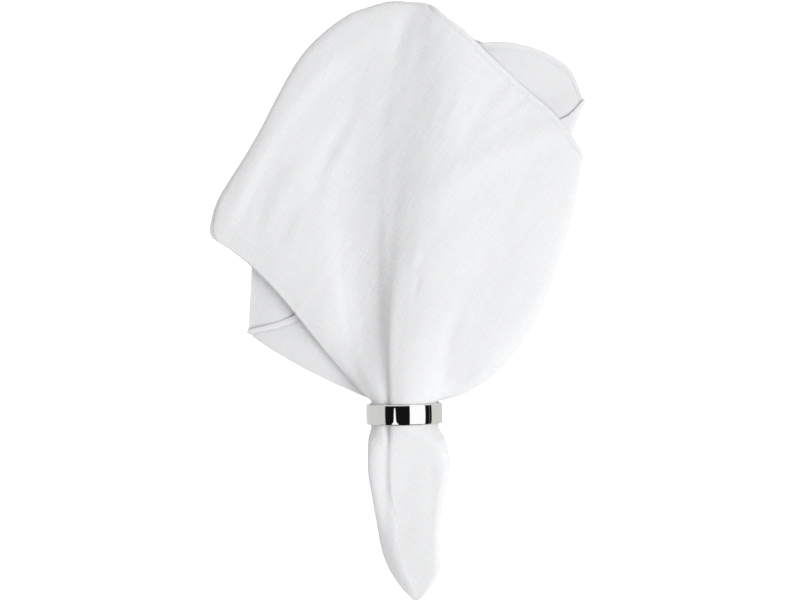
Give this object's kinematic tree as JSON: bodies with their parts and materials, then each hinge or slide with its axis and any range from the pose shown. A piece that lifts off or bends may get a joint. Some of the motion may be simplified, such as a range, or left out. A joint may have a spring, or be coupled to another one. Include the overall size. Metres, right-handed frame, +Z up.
{
  "type": "napkin in a ring",
  "caption": "White linen napkin, folded and gathered through a plain polished metal ring, with a short tail below the ring and its layers opening into a soft fan above.",
  "frame": {"origin": "bottom centre of the whole object's box, on the surface it lies on", "axes": "+Z up from the surface; +Y from the tip of the tail through the ring to the fan's hem; +X to the right of the front layer, seen from above"},
  "size_m": [0.2182, 0.3534, 0.0446],
  "materials": {
    "linen": "plain-woven white linen with slubs",
    "polished_steel": "mirror polished"
  },
  "bodies": {
    "root": {"napkin": "linen", "napkin_ring": "polished_steel"}
  },
  "joints": []
}
